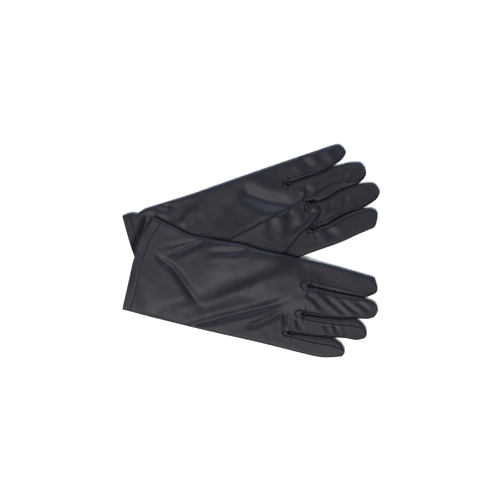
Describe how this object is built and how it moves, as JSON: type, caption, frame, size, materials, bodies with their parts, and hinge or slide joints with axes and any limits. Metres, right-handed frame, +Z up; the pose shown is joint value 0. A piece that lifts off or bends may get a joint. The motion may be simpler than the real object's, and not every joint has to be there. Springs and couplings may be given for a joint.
{
  "type": "dress gloves",
  "caption": "Pair of wrist-length satin dress gloves lying flat palm up, one across the other, with sewn fourchettes, set-in thumbs and turned hems.",
  "frame": {"origin": "on the surface that the pair lies on, under the middle of the pair's outline", "axes": "+X towards the fingertips, along the pair's longest side; +Z up, out of the palms; +Y from the left glove towards the right one's little finger"},
  "size_m": [0.2388, 0.1968, 0.019],
  "materials": {
    "satin": "charcoal stretch satin, soft sheen",
    "fourchette_satin": "the same satin, cut as finger gussets",
    "hem_satin": "the same satin, turned under and stitched down",
    "thread": "matt black sewing thread"
  },
  "bodies": {
    "right_hand": {"right_back_hem": "hem_satin", "right_back_hem_stitching": "thread", "right_back_panel": "satin", "right_palm_hem": "hem_satin", "right_palm_hem_stitching": "thread", "right_palm_panel": "satin", "right_side_seam": "thread", "right_thumb_base_lower": "satin", "right_thumb_base_upper": "satin", "right_thumb_seam": "thread"},
    "right_thumb": {"right_thumb_tip_lower": "satin", "right_thumb_tip_upper": "satin"},
    "right_index": {"right_index_back": "satin", "right_index_fourchette_inner": "fourchette_satin", "right_index_palm": "satin"},
    "right_middle": {"right_middle_back": "satin", "right_middle_fourchette_inner": "fourchette_satin", "right_middle_fourchette_outer": "fourchette_satin", "right_middle_palm": "satin"},
    "right_ring": {"right_ring_back": "satin", "right_ring_fourchette_inner": "fourchette_satin", "right_ring_fourchette_outer": "fourchette_satin", "right_ring_palm": "satin"},
    "right_pinky": {"right_pinky_back": "satin", "right_pinky_fourchette_outer": "fourchette_satin", "right_pinky_palm": "satin"},
    "left_hand": {"left_back_hem": "hem_satin", "left_back_hem_stitching": "thread", "left_back_panel": "satin", "left_palm_hem": "hem_satin", "left_palm_hem_stitching": "thread", "left_palm_panel": "satin", "left_side_seam": "thread", "left_thumb_lower": "satin", "left_thumb_seam": "thread", "left_thumb_upper": "satin"},
    "left_index": {"left_index_back": "satin", "left_index_fourchette_inner": "fourchette_satin", "left_index_palm": "satin"},
    "left_middle": {"left_middle_back": "satin", "left_middle_fourchette_inner": "fourchette_satin", "left_middle_fourchette_outer": "fourchette_satin", "left_middle_palm": "satin"},
    "left_ring": {"left_ring_back": "satin", "left_ring_fourchette_inner": "fourchette_satin", "left_ring_fourchette_outer": "fourchette_satin", "left_ring_palm": "satin"},
    "left_pinky": {"left_pinky_back": "satin", "left_pinky_fourchette_outer": "fourchette_satin", "left_pinky_palm": "satin"}
  },
  "joints": [
    {"name": "left_glove_lift", "type": "slide", "parent": "right_hand", "child": "left_hand", "axis": [0, 0, 1], "range_m": [0, 0.15]},
    {"name": "right_thumb_fold", "type": "hinge", "parent": "right_hand", "child": "right_thumb", "pos_m": [0.02783, 0.01751, 0.0085], "axis": [0.515, -0.8572, 0], "range_deg": [0, 80]},
    {"name": "right_index_fold", "type": "hinge", "parent": "right_hand", "child": "right_index", "pos_m": [0.06041, 0.01198, 0.0046], "axis": [0.3798, -0.9251, 0], "range_deg": [0, 90]},
    {"name": "right_middle_fold", "type": "hinge", "parent": "right_hand", "child": "right_middle", "pos_m": [0.07099, 0.03961, 0.0046], "axis": [0.3844, -0.9232, 0], "range_deg": [0, 90]},
    {"name": "right_ring_fold", "type": "hinge", "parent": "right_hand", "child": "right_ring", "pos_m": [0.05245, 0.05658, 0.0046], "axis": [0.3678, -0.9299, 0], "range_deg": [0, 90]},
    {"name": "right_pinky_fold", "type": "hinge", "parent": "right_hand", "child": "right_pinky", "pos_m": [0.034, 0.07331, 0.0046], "axis": [0.3407, -0.9402, 0], "range_deg": [0, 90]},
    {"name": "left_index_fold", "type": "hinge", "parent": "left_hand", "child": "left_index", "pos_m": [0.05654, -0.0203, 0.0093], "axis": [-0.2213, -0.9752, 0], "range_deg": [0, 90]},
    {"name": "left_middle_fold", "type": "hinge", "parent": "left_hand", "child": "left_middle", "pos_m": [0.05217, -0.0446, 0.00724], "axis": [-0.1517, -0.9884, 0], "range_deg": [0, 90]},
    {"name": "left_ring_fold", "type": "hinge", "parent": "left_hand", "child": "left_ring", "pos_m": [0.04732, -0.06651, 0.00551], "axis": [-0.1113, -0.9938, 0], "range_deg": [0, 90]},
    {"name": "left_pinky_fold", "type": "hinge", "parent": "left_hand", "child": "left_pinky", "pos_m": [0.03561, -0.08236, 0.0046], "axis": [-0.1596, -0.9872, 0], "range_deg": [0, 90]}
  ]
}
